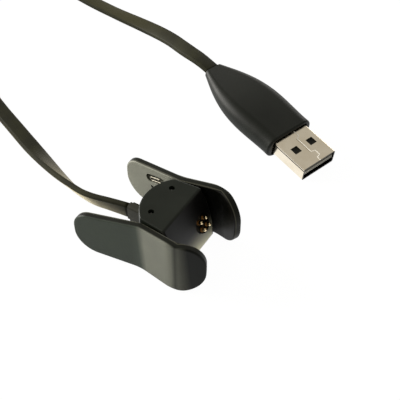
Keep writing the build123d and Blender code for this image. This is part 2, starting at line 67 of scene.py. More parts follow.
cameraSettings = {
    "place": (pivotX + 87.42, -123.81, 178.75),
    "headingDegrees": 31.64,
    "pitchDegrees": 47.08,
    "lens": 81.0,
    "sensor": 36.0,
    "nearest": 10.0,
}


def makeCamera(settings):
    data = bpy.data.cameras.new("tableCamera")
    data.lens = settings["lens"]
    data.sensor_width = settings["sensor"]
    data.clip_start = settings["nearest"] * mm
    camera = placeObject("tableCamera", data)
    camera.location = Vector(settings["place"]) * mm
    tilt = math.radians(90 - settings["pitchDegrees"])
    camera.rotation_euler = (tilt, 0, math.radians(settings["headingDegrees"]))
    bpy.context.scene.camera = camera


makeCamera(cameraSettings)
print("camera ready")


def addNode(tree, kind, **values):
    node = tree.nodes.new(kind)
    for key, value in values.items():
        setattr(node, key, value)
    return node


def link(tree, source, target):
    tree.links.new(source, target)


def feed(tree, value, socket):
    # a socket takes another node's output or a plain value
    if hasattr(value, "is_output"):
        link(tree, value, socket)
    else:
        socket.default_value = value


def opaque(colour):
    return (*colour, 1)


def mixColour(tree, factor, first, second):
    node = addNode(tree, "ShaderNodeMix", data_type="RGBA")
    for index, value in ((0, factor), (6, first), (7, second)):
        feed(tree, value, node.inputs[index])
    return node.outputs[2]


def mapRange(tree, value, low, high, first=0.0, last=1.0):
    node = addNode(tree, "ShaderNodeMapRange")
    for socket, number in zip(node.inputs, (value, low, high, first, last)):
        feed(tree, number, socket)
    return node.outputs[0]


def calc(tree, operation, *values):
    node = addNode(tree, "ShaderNodeMath", operation=operation)
    for socket, value in zip(node.inputs, values):
        feed(tree, value, socket)
    return node.outputs[0]


def times(tree, first, *others):
    for other in others:
        first = calc(tree, "MULTIPLY", first, other)
    return first


def ramp(tree, place, edges, first=0.0, last=1.0):
    # changes from first to last between two places, in millimetres
    low, high = edges
    return mapRange(tree, place, low * mm, high * mm, first, last)


def band(tree, place, edges):
    # rises over the first two edges and falls over the last two
    return times(tree, ramp(tree, place, edges[:2]), ramp(tree, place, edges[2:], 1.0, 0.0))


def within(tree, place, edges):
    low, high = edges
    above = calc(tree, "GREATER_THAN", place, low * mm)
    return times(tree, above, calc(tree, "LESS_THAN", place, high * mm))


def objectPlace(tree):
    return addNode(tree, "ShaderNodeTexCoord").outputs["Object"]


def splitPlace(tree, place):
    split = addNode(tree, "ShaderNodeSeparateXYZ")
    link(tree, place, split.inputs[0])
    return split.outputs["X"], split.outputs["Y"], split.outputs["Z"]


def addNoise(tree, place, size, detail):
    noise = addNode(tree, "ShaderNodeTexNoise")
    link(tree, place, noise.inputs["Vector"])
    feed(tree, size, noise.inputs["Scale"])
    noise.inputs["Detail"].default_value = detail
    return noise.outputs[0]


groupOutputs = {"Color": "NodeSocketColor", "Roughness": "NodeSocketFloat", "Height": "NodeSocketFloat"}


def makeGroup(name, inputs):
    tree = bpy.data.node_groups.new(name, "ShaderNodeTree")
    for label, kind, value in inputs:
        socket = tree.interface.new_socket(name=label, in_out="INPUT", socket_type=kind)
        socket.default_value = value
    for label, kind in groupOutputs.items():
        tree.interface.new_socket(name=label, in_out="OUTPUT", socket_type=kind)
    return tree, addNode(tree, "NodeGroupInput").outputs, addNode(tree, "NodeGroupOutput").inputs


def endGroup(tree, end, *results):
    for label, result in zip(groupOutputs, results):
        link(tree, result, end[label])
    return tree


# a range is where the noise starts and stops to count, and the depth of a bump is in millimetres
mouldGrainLook = {
    "grainDetail": 3,
    "cloudSize": 160,
    "cloudDetail": 5,
    "patchRange": (0.35, 0.7),
    "patchShare": 0.5,
    "speckRange": (0.3, 0.75),
    "speckShare": 0.35,
    "roughRange": (0.3, 0.7),
    "bumpDepth": 0.02,
}


def makeMouldGrain(look):
    # fine spark-eroded grain with slow tone changes and a little handling dust
    tree, start, end = makeGroup("mouldGrain", [
        ("Base", "NodeSocketColor", (0.05, 0.05, 0.05, 1)),
        ("Worn", "NodeSocketColor", (0.09, 0.09, 0.085, 1)),
        ("Grain Size", "NodeSocketFloat", 5000.0),
        ("Smooth", "NodeSocketFloat", 0.38),
        ("Rough", "NodeSocketFloat", 0.52),
    ])
    place = objectPlace(tree)
    grain = addNoise(tree, place, start["Grain Size"], look["grainDetail"])
    cloud = addNoise(tree, place, look["cloudSize"], look["cloudDetail"])
    patch = mapRange(tree, cloud, *look["patchRange"], 0.0, look["patchShare"])
    speck = mapRange(tree, grain, *look["speckRange"], 0.0, look["speckShare"])
    colour = mixColour(tree, calc(tree, "ADD", patch, speck), start["Base"], start["Worn"])
    rough = mapRange(tree, cloud, *look["roughRange"], start["Smooth"], start["Rough"])
    return endGroup(tree, end, colour, rough, grain)


platingLook = {
    "markDetail": 4,
    "stainSize": 260,
    "stainDetail": 2,
    "stainRange": (0.35, 0.7),
    "roughRange": (0.25, 0.75),
    "bumpDepth": 0.01,
}


def makePlating(look):
    # rolling marks and a few faint stains on metal
    tree, start, end = makeGroup("plating", [
        ("Place", "NodeSocketVector", (0, 0, 0)),
        ("Base", "NodeSocketColor", (0.8, 0.75, 0.65, 1)),
        ("Stained", "NodeSocketColor", (0.6, 0.55, 0.45, 1)),
        ("Mark Size", "NodeSocketFloat", 900.0),
        ("Smooth", "NodeSocketFloat", 0.16),
        ("Rough", "NodeSocketFloat", 0.28),
    ])
    marks = addNoise(tree, start["Place"], start["Mark Size"], look["markDetail"])
    stain = addNoise(tree, objectPlace(tree), look["stainSize"], look["stainDetail"])
    tone = mapRange(tree, stain, *look["stainRange"])
    colour = mixColour(tree, tone, start["Base"], start["Stained"])
    rough = mapRange(tree, marks, *look["roughRange"], start["Smooth"], start["Rough"])
    return endGroup(tree, end, colour, rough, marks)


mouldGrain = makeMouldGrain(mouldGrainLook)
plating = makePlating(platingLook)


def newMaterial(name):
    material = bpy.data.materials.new(name)
    material.use_nodes = True
    tree = material.node_tree
    return material, tree, tree.nodes["Principled BSDF"]


def addBump(tree, height, shader, strength, depth):
    bump = addNode(tree, "ShaderNodeBump")
    bump.inputs["Strength"].default_value = strength
    bump.inputs["Distance"].default_value = depth * mm
    link(tree, height, bump.inputs["Height"])
    link(tree, bump.outputs[0], shader.inputs["Normal"])


def addGroup(tree, shader, group, depth, look, inputs):
    # a group's inputs take the look's values, and its outputs feed the shader
    node = addNode(tree, "ShaderNodeGroup", node_tree=group)
    for label, key in inputs.items():
        value = look[key]
        node.inputs[label].default_value = opaque(value) if isinstance(value, tuple) else value
    link(tree, node.outputs["Color"], shader.inputs["Base Color"])
    link(tree, node.outputs["Roughness"], shader.inputs["Roughness"])
    addBump(tree, node.outputs["Height"], shader, look["bump"], depth)
    return node


def makePlastic(name, look):
    material, tree, shader = newMaterial(name)
    addGroup(tree, shader, mouldGrain, mouldGrainLook["bumpDepth"], look, {
        "Base": "base", "Worn": "worn", "Grain Size": "grainSize", "Smooth": "smooth", "Rough": "rough"})
    shader.inputs["Specular IOR Level"].default_value = look["specular"]
    return material


def makeMetal(name, look):
    material, tree, shader = newMaterial(name)
    plated = addGroup(tree, shader, plating, platingLook["bumpDepth"], look, {
        "Base": "base", "Stained": "stained", "Mark Size": "markSize", "Smooth": "smooth",
        "Rough": "rough"})
    stretch = addNode(tree, "ShaderNodeMapping")
    stretch.inputs["Scale"].default_value = look["stretch"]
    stretch.inputs["Rotation"].default_value = (0, 0, math.radians(look["turn"]))
    link(tree, objectPlace(tree), stretch.inputs["Vector"])
    link(tree, stretch.outputs[0], plated.inputs["Place"])
    shader.inputs["Metallic"].default_value = 1.0
    return material


plasticLooks = {
    "arm_plastic": {
        "base": (0.018, 0.019, 0.014), "worn": (0.028, 0.029, 0.022), "grainSize": 9000,
        "smooth": 0.38, "rough": 0.48, "bump": 0.25, "specular": 0.13},
    "block_plastic": {
        "base": (0.0105, 0.0125, 0.0085), "worn": (0.018, 0.020, 0.015), "grainSize": 9000,
        "smooth": 0.38, "rough": 0.48, "bump": 0.25, "specular": 0.2},
    "contact_plastic": {
        "base": (0.003, 0.0028, 0.0022), "worn": (0.007, 0.006, 0.005), "grainSize": 9000,
        "smooth": 0.32, "rough": 0.42, "bump": 0.1, "specular": 0.15},
    "grip_plastic": {
        "base": (0.0050, 0.0064, 0.0042), "worn": (0.010, 0.0118, 0.0085), "grainSize": 7000,
        "smooth": 0.44, "rough": 0.54, "bump": 0.2, "specular": 0.20},
    "collar_plastic": {
        "base": (0.032, 0.032, 0.024), "worn": (0.044, 0.044, 0.034), "grainSize": 7000,
        "smooth": 0.44, "rough": 0.54, "bump": 0.2, "specular": 0.2},
    "tongue_plastic": {
        "base": (0.008, 0.0082, 0.0052), "worn": (0.014, 0.0145, 0.0105), "grainSize": 6000,
        "smooth": 0.4, "rough": 0.5, "bump": 0.1, "specular": 0.12},
    "rib_plastic": {
        "base": (0.34, 0.33, 0.29), "worn": (0.44, 0.43, 0.38), "grainSize": 6000,
        "smooth": 0.4, "rough": 0.5, "bump": 0.1, "specular": 0.4},
    # a painted highlight for the seam's ridge
    "seam_edge": {
        "base": (0.97, 0.93, 0.82), "worn": (0.99, 0.96, 0.88), "grainSize": 5000,
        "smooth": 0.25, "rough": 0.4, "bump": 0.1, "specular": 0.8},
    "tie_tape": {
        "base": (0.012, 0.012, 0.011), "worn": (0.030, 0.030, 0.027), "grainSize": 2200,
        "smooth": 0.75, "rough": 0.9, "bump": 0.8, "specular": 0.2},
    "board": {
        "base": (0.02, 0.16, 0.07), "worn": (0.04, 0.24, 0.11), "grainSize": 6000,
        "smooth": 0.25, "rough": 0.35, "bump": 0.1, "specular": 0.5},
    "wire_jacket": {
        "base": (0.42, 0.05, 0.04), "worn": (0.5, 0.1, 0.08), "grainSize": 6000,
        "smooth": 0.35, "rough": 0.45, "bump": 0.1, "specular": 0.5},
}
metalLooks = {
    "usb_nickel": {
        "base": (0.93, 0.85, 0.70), "stained": (0.86, 0.77, 0.61), "stretch": (1, 14, 1), "turn": 18.4,
        "markSize": 900, "smooth": 0.14, "rough": 0.24, "bump": 0.05},
    "gold_plate": {
        "base": (1.0, 0.84, 0.54), "stained": (0.95, 0.72, 0.40), "stretch": (1, 1, 1), "turn": 0,
        "markSize": 3000, "smooth": 0.12, "rough": 0.24, "bump": 0.05},
    "barrel_gold": {
        "base": (0.20, 0.11, 0.045), "stained": (0.11, 0.06, 0.022), "stretch": (1, 1, 1), "turn": 0,
        "markSize": 3000, "smooth": 0.3, "rough": 0.45, "bump": 0.05},
    "pin_steel": {
        "base": (0.20, 0.20, 0.19), "stained": (0.12, 0.12, 0.11), "stretch": (1, 1, 6), "turn": 0,
        "markSize": 3000, "smooth": 0.3, "rough": 0.45, "bump": 0.1},
    "spring_steel": {
        "base": (0.27, 0.26, 0.21), "stained": (0.17, 0.155, 0.12), "stretch": (1, 1, 1), "turn": 0,
        "markSize": 3000, "smooth": 0.36, "rough": 0.50, "bump": 0.1},
}
finishes = {name: makePlastic(name, look) for name, look in plasticLooks.items()}
finishes.update({name: makeMetal(name, look) for name, look in metalLooks.items()})


# places are in millimetres: along the cable, or from the middle of its section
jacketLook = {
    "base": (0.0088, 0.0088, 0.0022),
    "worn": (0.0176, 0.0176, 0.0052),
    "bloomSize": 220,
    "bloomDetail": 6,
    "bloomRange": (0.4, 0.75),
    "drawnScale": (40, 2600, 2600),
    "drawnDetail": 2,
    "drawnRange": (0.3, 0.7),
    "smooth": 0.46,
    "rough": 0.56,
    "bump": 0.15,
    "bumpDepth": 0.02,
    "specular": 0.16,
    # a painted sheen: pale colour where a wide face is seen edge-on, stronger on the underside, fading
    # away from the clip
    "paintedSheen": (0.70, 0.635, 0.43),   # where a wide face is seen edge-on
    "sheenFrom": 0.36,
    "sheenPower": 2.0,
    "sheenFades": (65.0, 95.0),
    "sheenLeft": 0.06,              # the share past the fade
    "faceDepths": (-0.4, 0.4),
    "faceShares": (1.85, 0.74),     # on the underside, and on top
    "sides": (1.65, 2.05),          # where the wide faces give way to the narrow edges
    "sideShare": 0.10,
    "sideMatt": 0.30,               # roughness added there
    "sheenPatch": (396, 412, 424, 446),  # the stretch painted lighter as a sheen patch, along the cable
    "sheenPatchColour": (0.036, 0.034, 0.014),
}


def makeJacket(name, look):
    # extruded jacket: a painted sheen where its wide faces are seen edge-on, a painted sheen patch along
    # one stretch, drawn lines along the cable, and a dusty bloom
    material, tree, shader = newMaterial(name)
    place = addNode(tree, "ShaderNodeAttribute", attribute_name="alongCable").outputs["Vector"]
    stretch = addNode(tree, "ShaderNodeMapping")
    stretch.inputs["Scale"].default_value = look["drawnScale"]
    link(tree, place, stretch.inputs["Vector"])
    drawn = addNoise(tree, stretch.outputs[0], 1, look["drawnDetail"])
    bloom = addNoise(tree, objectPlace(tree), look["bloomSize"], look["bloomDetail"])
    along, across, depth = splitPlace(tree, place)
    fromMiddle = calc(tree, "ABSOLUTE", across)
    facing = addNode(tree, "ShaderNodeLayerWeight").outputs["Facing"]
    edgeOn = mapRange(tree, facing, look["sheenFrom"], 1.0)
    # painted sheen on edge-on faces, faded along the cable and stronger underneath
    paintedSheen = times(
        tree, calc(tree, "POWER", edgeOn, look["sheenPower"]),
        ramp(tree, along, look["sheenFades"], 1.0, look["sheenLeft"]),
        ramp(tree, depth, look["faceDepths"], *look["faceShares"]))
    paintedSheen = times(
        tree, calc(tree, "MINIMUM", paintedSheen, 1.0),
        ramp(tree, fromMiddle, look["sides"], 1.0, look["sideShare"]))
    # a painted sheen patch along one stretch of the wide faces
    sheenPatch = times(
        tree, band(tree, along, look["sheenPatch"]), ramp(tree, fromMiddle, look["sides"], 1.0, 0.0))
    dust = mapRange(tree, bloom, *look["bloomRange"])
    colour = mixColour(tree, dust, opaque(look["base"]), opaque(look["worn"]))
    colour = mixColour(tree, sheenPatch, colour, opaque(look["sheenPatchColour"]))
    colour = mixColour(tree, paintedSheen, colour, opaque(look["paintedSheen"]))
    link(tree, colour, shader.inputs["Base Color"])
    rough = mapRange(tree, drawn, *look["drawnRange"], look["smooth"], look["rough"])
    matt = ramp(tree, fromMiddle, look["sides"], 0.0, look["sideMatt"])
    link(tree, calc(tree, "ADD", rough, matt), shader.inputs["Roughness"])
    shader.inputs["Specular IOR Level"].default_value = look["specular"]
    addBump(tree, drawn, shader, look["bump"], look["bumpDepth"])
    return material


finishes["cable_jacket"] = makeJacket("cable_jacket", jacketLook)


# the plug's own frame: x along its nose, y to its left, z up from its flat
plug = {
    "place": (11.22, 48.05, 3.82),
    "turnDegrees": -18.4,
    "dipDegrees": 7.2,
    "gripLength": 33.5,
    "lead": 5.0,
    "shellHeight": 4.5,
}
plugSpot = Vector((pivotX + plug["place"][0], *plug["place"][1:])) * mm
plugTurn = (0, math.radians(plug["dipDegrees"]), math.radians(plug["turnDegrees"]))
plugFrame = Matrix.Translation(plugSpot) @ Euler(plugTurn).to_matrix().to_4x4()


def plugPoint(x, y, z):
    return plugFrame @ (Vector((x, y, z)) * mm)


# painted shade on the plug's shell: on its cut end, in a line along its sides, beside the seam and inside
# its mouth; in millimetres of the plug's frame
shellTone = {
    # painted shade on the cut end of the sheet
    "cutEnd": (11.90, 11.97),
    "cutShadeColour": (0.030, 0.026, 0.018),
    # a painted shade line along the sides, below the top's rounded edge
    "shadeLineHeight": 1.50,
    "shadeLineHalf": 0.19,
    "shadeLineSide": 5.85,
    "shadeLineColour": (0.020, 0.017, 0.012),
    # a painted shadow beside the seam, on the top
    "seamAlong": (2.4, 8.3),
    "seamAcross": (-0.16, 0.06),
    "seamShadowColour": (0.50, 0.43, 0.31),
    # painted shade inside the shell's mouth
    "innerSide": 5.80,
    "innerHeight": 2.02,
    "innerShadeColour": (0.020, 0.017, 0.012),
}


def toneShell(settings):
    tree = finishes["usb_nickel"].node_tree
    turned = addNode(tree, "ShaderNodeMapping", vector_type="TEXTURE")
    turned.inputs["Location"].default_value = plugSpot
    turned.inputs["Rotation"].default_value = plugTurn
    link(tree, objectPlace(tree), turned.inputs["Vector"])
    along, across, up = splitPlace(tree, turned.outputs[0])
    fromMiddle = calc(tree, "ABSOLUTE", across)
    fromShadeLine = calc(tree, "ABSOLUTE", calc(tree, "SUBTRACT", up, settings["shadeLineHeight"] * mm))
    # each mask paints shade onto the nickel
    masks = {
        "seamShadowColour": times(
            tree, within(tree, along, settings["seamAlong"]), within(tree, across, settings["seamAcross"]),
            calc(tree, "GREATER_THAN", up, 0.0)),
        "shadeLineColour": times(
            tree, calc(tree, "LESS_THAN", fromShadeLine, settings["shadeLineHalf"] * mm),
            calc(tree, "GREATER_THAN", fromMiddle, settings["shadeLineSide"] * mm)),
        "cutShadeColour": ramp(tree, along, settings["cutEnd"]),
        "innerShadeColour": times(
            tree, calc(tree, "LESS_THAN", fromMiddle, settings["innerSide"] * mm),
            calc(tree, "LESS_THAN", calc(tree, "ABSOLUTE", up), settings["innerHeight"] * mm)),
    }
    target = tree.nodes["Principled BSDF"].inputs["Base Color"]
    colour = target.links[0].from_socket
    for name, mask in masks.items():
        colour = mixColour(tree, mask, colour, opaque(settings[name]))
    link(tree, colour, target)


def clipPlace(tree):
    along, across, up = splitPlace(tree, objectPlace(tree))
    return calc(tree, "SUBTRACT", along, pivotX * mm), across, up


def setTone(tree, tone, wornShare):
    # the mould grain takes its two tones from one that changes over the surface
    grain = next(node for node in tree.nodes if node.type == "GROUP")
    worn = addNode(tree, "ShaderNodeVectorMath", operation="SCALE")
    worn.inputs["Scale"].default_value = wornShare
    link(tree, tone, worn.inputs[0])
    link(tree, tone, grain.inputs["Base"])
    link(tree, worn.outputs[0], grain.inputs["Worn"])


# painted light and shade on the arms: painted light at the finger grips and on the tails' inner faces,
# painted shade at the jaws and on the top rim, a painted highlight line near the inner faces; in
# millimetres from the pivots
armTone = {
    "wallY": 9.25,                  # middle of the wall at the neck
    "neckX": -0.3,
    "flareDegrees": 8.2,
    "bend": (11.0, 10.94),          # where the wall turns in to the jaw, along and across
    "curlDegrees": 27.0,
    "faceDepth": (0.45, 0.85),      # from the middle of the wall
    "edgeDepth": (0.52, 0.64, 0.80, 0.92),
    "gripEnds": (-0.4, 1.7),
    "jawEnds": (9.2, 14.6),
    "bandLean": 0.07,               # how far the bands lean per millimetre of height
    "bandHeight": 7.0,
    "innerEnds": (-4.0, -1.0),
    "recessAlong": (-12.0, -4.2),
    "recessHeight": (8.6, 12.6),
    "recessDepth": (-0.5, -0.2),
    "wornShare": 1.35,
    "colours": {
        "rimShade": (0.0060, 0.0068, 0.0042),
        "edge": (0.050, 0.050, 0.036),
        "outerTail": (0.036, 0.045, 0.035),
        "grip": (0.136, 0.142, 0.116),
        "jaw": (0.0020, 0.0028, 0.0012),
        "innerTailLight": (0.204, 0.209, 0.171),
        "innerJawShade": (0.0012, 0.0013, 0.0006),
    },
}


def toneArms(settings):
    tree = finishes["arm_plastic"].node_tree
    along, across, up = clipPlace(tree)
    flare, curl = (math.tan(math.radians(settings[name])) for name in ("flareDegrees", "curlDegrees"))
    fromNeck = calc(tree, "ABSOLUTE", calc(tree, "SUBTRACT", along, settings["neckX"] * mm))
    bendX, bendY = settings["bend"]
    pastBend = calc(tree, "SUBTRACT", along, bendX * mm)
    wall = calc(
        tree, "MINIMUM", calc(tree, "MULTIPLY_ADD", fromNeck, flare, settings["wallY"] * mm),
        calc(tree, "MULTIPLY_ADD", pastBend, -curl, bendY * mm))
    inward = calc(tree, "SUBTRACT", wall, calc(tree, "ABSOLUTE", across))
    inner = ramp(tree, inward, settings["faceDepth"])
    outer = ramp(tree, inward, [-depth for depth in settings["faceDepth"]])
    # the spring's recess gets the same painted light as the face round it
    recess = times(
        tree, ramp(tree, inward, settings["recessDepth"]), within(tree, along, settings["recessAlong"]),
        within(tree, up, settings["recessHeight"]))
    inner = calc(tree, "MAXIMUM", inner, recess)
    height = calc(tree, "SUBTRACT", up, settings["bandHeight"] * mm)
    leaning = calc(tree, "MULTIPLY_ADD", height, settings["bandLean"], along)
    colours = {name: opaque(colour) for name, colour in settings["colours"].items()}
    # outer faces: painted light on the grips, painted shade on the jaws
    outside = mixColour(
        tree, ramp(tree, leaning, settings["gripEnds"]), colours["outerTail"], colours["grip"])
    outside = mixColour(tree, ramp(tree, leaning, settings["jawEnds"]), outside, colours["jaw"])
    # inner faces: painted light on the tails, painted shade on the jaws
    inside = mixColour(
        tree, ramp(tree, along, settings["innerEnds"]), colours["innerTailLight"], colours["innerJawShade"])
    # painted shade on the rim between the faces
    tone = mixColour(tree, outer, colours["rimShade"], outside)
    tone = mixColour(tree, inner, tone, inside)
    # a painted highlight line near the inner faces
    tone = mixColour(tree, band(tree, inward, settings["edgeDepth"]), tone, colours["edge"])
    setTone(tree, tone, settings["wornShare"])


# the block's smooth top, and its front painted with light and shade: painted shade towards the contacts,
# painted light on the left, a painted reflection of the table at the foot and a painted highlight along
# the side edges
blockTone = {
    "front": (4.6, 5.8),            # where the top gives way to the front
    "topZ": (15.7, 16.1),
    "leftY": (-4.5, 2.0),
    "lowZ": (0.5, 9.0),
    "lowPower": 2.0,
    "lowY": (-8.5, -2.0),
    "lowShares": (0.2, 1.0),
    "sideHighlightLine": (8.35, 8.75),
    "wornShare": 1.5,
    "colours": {
        "top": (0.0072, 0.0094, 0.0060),
        "frontShade": (0.0014, 0.0011, 0.0007),
        "frontLeftLight": (0.0080, 0.0090, 0.0088),
        "frontLowReflection": (0.93, 0.92, 0.70),
        "side": (0.050, 0.050, 0.038),
    },
}


def toneBlock(settings):
    tree = finishes["block_plastic"].node_tree
    along, across, up = clipPlace(tree)
    front = times(tree, ramp(tree, along, settings["front"]), ramp(tree, up, settings["topZ"], 1.0, 0.0))
    left = ramp(tree, across, settings["leftY"], 1.0, 0.0)
    low = times(
        tree, calc(tree, "POWER", ramp(tree, up, settings["lowZ"], 1.0, 0.0), settings["lowPower"]),
        ramp(tree, across, settings["lowY"], *settings["lowShares"]))
    side = ramp(tree, calc(tree, "ABSOLUTE", across), settings["sideHighlightLine"])
    colours = {name: opaque(colour) for name, colour in settings["colours"].items()}
    # painted shade towards the contacts, painted light on the left
    tone = mixColour(tree, left, colours["frontShade"], colours["frontLeftLight"])
    # a painted reflection of the table at the foot
    tone = mixColour(tree, low, tone, colours["frontLowReflection"])
    # a painted highlight along the side edges
    tone = mixColour(tree, side, tone, colours["side"])
    tone = mixColour(tree, front, colours["top"], tone)
    setTone(tree, tone, settings["wornShare"])


toneArms(armTone)
toneBlock(blockTone)
toneShell(shellTone)

# finishes that differ from the slot's own
ownFinishes = {"pogo_barrels": "barrel_gold", "strain_relief": "collar_plastic"}
for part in frame["record"]["subparts"]:
    mesh = nodes[part["node"]].data
    mesh.materials.clear()
    mesh.materials.append(finishes[ownFinishes.get(part["node"], part["material_slot"])])
print("finishes ready")


cable = {
    "width": 4.6,
    "thickness": 1.7,
    "round": 0.7,
    "cornerSteps": 5,
    "rolls": (                      # millimetres along, degrees from level
        (0, 90), (10, 76), (15, 66), (20, 62), (43.5, 0), (418, 0), (437, 20), (456, 18), (466, 0)),
    "restHeight": 0.97,
    "exitHeight": 6.4,
    "coilX": -139.0,
    "coilY": 64.0,
    "coilRadius": 22.5,
    "coilTurns": 1.5,
    "coilPitch": 2.4,
    "pointsPerTurn": 16,
    "slopeLength": 11.0,
    "lineSteps": 10,                # in each stretch of the curve
    "lineOrder": 3,
}
rest = cable["restHeight"]
coilNear = cable["coilY"] - cable["coilRadius"]
coilFar = cable["coilY"] + cable["coilRadius"]
coilSlope = cable["coilPitch"] / (math.tau * cable["coilRadius"])
coilLow = rest + cable["width"] * coilSlope
coilHigh = coilLow + cable["coilPitch"] * cable["coilTurns"]
# the cable's free stretches, in millimetres from the pivots
clipRoute = [
    (-10.2, 0, cable["exitHeight"]),
    (-15.2, -0.3, 5.9),
    (-22.5, -0.75, 4.65),
    (-29.5, 0.85, 3.5),
    (-36, 3.15, 2.5),
    (-43.5, 6.25, 1.55),
    (-51.8, 9.65, rest),
    (-60.3, 13.25, rest),
    (-69.2, 16.9, rest),
    (-80, 22, rest),
    (-91, 27.7, rest),
    (-103, 33, rest),
    (-115, 38.6, rest),
    (-126, coilNear, rest),
    (cable["coilX"] + cable["width"], coilNear, rest),
]
plugRoute = [
    (cable["coilX"] + cable["width"], coilFar, coilHigh + cable["width"] * coilSlope),
    (cable["coilX"] + cable["slopeLength"], coilFar, coilHigh + cable["slopeLength"] * coilSlope),
    (-118, 85.4, 3.4),
    (-106, 82.3, 1.5),
    (-93, 78.9, rest),
    (-80.6, 76.2, rest),
    (-67.4, 74.5, 1.1),
    (-55.0, 72.6, 2.2),
    (-42.6, 68.7, 4.7),
    (-33.2, 63.5, 7.2),
]


def coilRoute(settings):
    steps = round(settings["coilTurns"] * settings["pointsPerTurn"])
    points = []
    for step in range(steps + 1):
        turn = step / settings["pointsPerTurn"]
        angle = -math.pi / 2 - math.tau * turn
        points.append((
            settings["coilX"] + settings["coilRadius"] * math.cos(angle),
            settings["coilY"] + settings["coilRadius"] * math.sin(angle),
            coilLow + settings["coilPitch"] * turn,
        ))
    return points


def smoothLine(name, points, steps, order):
    curve = bpy.data.curves.new(name, "CURVE")
    curve.dimensions = "3D"
    curve.resolution_u = steps
    spline = curve.splines.new("NURBS")
    spline.points.add(len(points) - 1)
    for target, point in zip(spline.points, points):
        target.co = (*point, 1)
    spline.order_u = order
    spline.use_endpoint_u = True
    holder = placeObject(name, curve)
    bpy.context.view_layer.update()
    mesh = bpy.data.meshes.new_from_object(holder)
    line = [vertex.co.copy() for vertex in mesh.vertices]
    bpy.data.objects.remove(holder)
    bpy.data.meshes.remove(mesh)
    return line


# which way each corner lies, and the angle where its round starts
corners = ((1, 1, 0), (-1, 1, 90), (-1, -1, 180), (1, -1, 270))


def roundedSection(width, height, radius, steps):
    points = []
    for sideways, upwards, start in corners:
        for step in range(steps + 1):
            angle = math.radians(start + 90 * step / steps)
            points.append((
                sideways * (width / 2 - radius) + radius * math.cos(angle),
                upwards * (height / 2 - radius) + radius * math.sin(angle),
            ))
    return points


def joinRings(builder, rings):
    for ring, following in zip(rings, rings[1:]):
        for index in range(len(ring)):
            after = (index + 1) % len(ring)
            builder.faces.new((ring[index], ring[after], following[after], following[index]))
    builder.faces.new(reversed(rings[0]))
    builder.faces.new(rings[-1])


def sweepPath(builder, path, section, up):
    # the section's first number runs across the path and its second along up; corners are mitred
    rings = []
    for index, spot in enumerate(path):
        ways = []
        if index > 0:
            ways.append((spot - path[index - 1]).normalized())
        if index < len(path) - 1:
            ways.append((path[index + 1] - spot).normalized())
        sides = [up.cross(way).normalized() for way in ways]
        across = (sides[0] + sides[-1]) / (1 + sides[0].dot(sides[-1]))
        rings.append([
            builder.verts.new(spot + (across * wide + up * rise) * mm) for wide, rise in section
        ])
    joinRings(builder, rings)
    bmesh.ops.recalc_face_normals(builder, faces=builder.faces)


def newPiece(name, builder, finish, body=rootBody, smooth=True):
    mesh = bpy.data.meshes.new(name)
    builder.to_mesh(mesh)
    builder.free()
    piece = placeObject(name, mesh)
    mesh.materials.append(finishes[finish])
    for face in mesh.polygons:
        face.use_smooth = smooth
    if body:
        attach(piece, body)
    return piece


def rollAt(rolls, place):
    for (start, first), (end, second) in zip(rolls, rolls[1:]):
        if place < end:
            return first + (second - first) * (place - start) / (end - start)
    return rolls[-1][1]


def makeCable(settings):
    plugEnd = [
        plugPoint(-plug["gripLength"] - plug["lead"], 0, 0),
        plugPoint(-plug["gripLength"], 0, 0),
    ]
    route = clipRoute + coilRoute(settings) + plugRoute
    points = [Vector((pivotX + x, y, z)) * mm for x, y, z in route] + plugEnd
    line = smoothLine("cableLine", points, settings["lineSteps"], settings["lineOrder"])
    section = roundedSection(
        settings["width"], settings["thickness"], settings["round"], settings["cornerSteps"])
    builder = bmesh.new()
    # the jacket's finish reads how far along, how wide and how thick each place lies
    alongLayer = builder.verts.layers.float_vector.new("alongCable")
    rings = []
    travelled = 0.0
    for index, spot in enumerate(line):
        before = line[max(index - 1, 0)]
        after = line[min(index + 1, len(line) - 1)]
        way = (after - before).normalized()
        travelled += (spot - before).length
        roll = math.radians(rollAt(settings["rolls"], travelled / mm))
        level = Vector((0, 0, 1)).cross(way).normalized()
        wideWay = level * math.cos(roll) + way.cross(level) * math.sin(roll)
        thinWay = way.cross(wideWay)
        ring = []
        for wide, thin in section:
            vertex = builder.verts.new(spot + (wideWay * wide + thinWay * thin) * mm)
            vertex[alongLayer] = (travelled, wide * mm, thin * mm)
            ring.append(vertex)
        rings.append(ring)
    joinRings(builder, rings)
    piece = newPiece("flatCable", builder, "cable_jacket")
    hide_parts("cable_run_clip", "cable_coil", "cable_run_plug")
    plugNodes = ("plug_overmold", "plug_inner_mold", "usb_shell", "usb_insulator", "usb_contacts")
    riders = [nodes[name] for name in plugNodes] + [
        makeTie(tie, line), makeSeam(seam), makeTongueEnd(tongueEnd)]


# tape that holds the coil's turns together
tie = {
    "directionDegrees": 135.0,
    "heldDegrees": 8.0,
    "heldShare": 0.1,               # of the coil's radius
    "thickness": 0.4,
    "width": 7.0,
    "edgeRound": 0.15,
    "edgeSteps": 3,
    "clearance": 0.12,
    "round": 1.0,
    "cornerSteps": 5,
    "corners": 6,
    "lap": 0.48,                    # how far the tape moves out in one turn
}


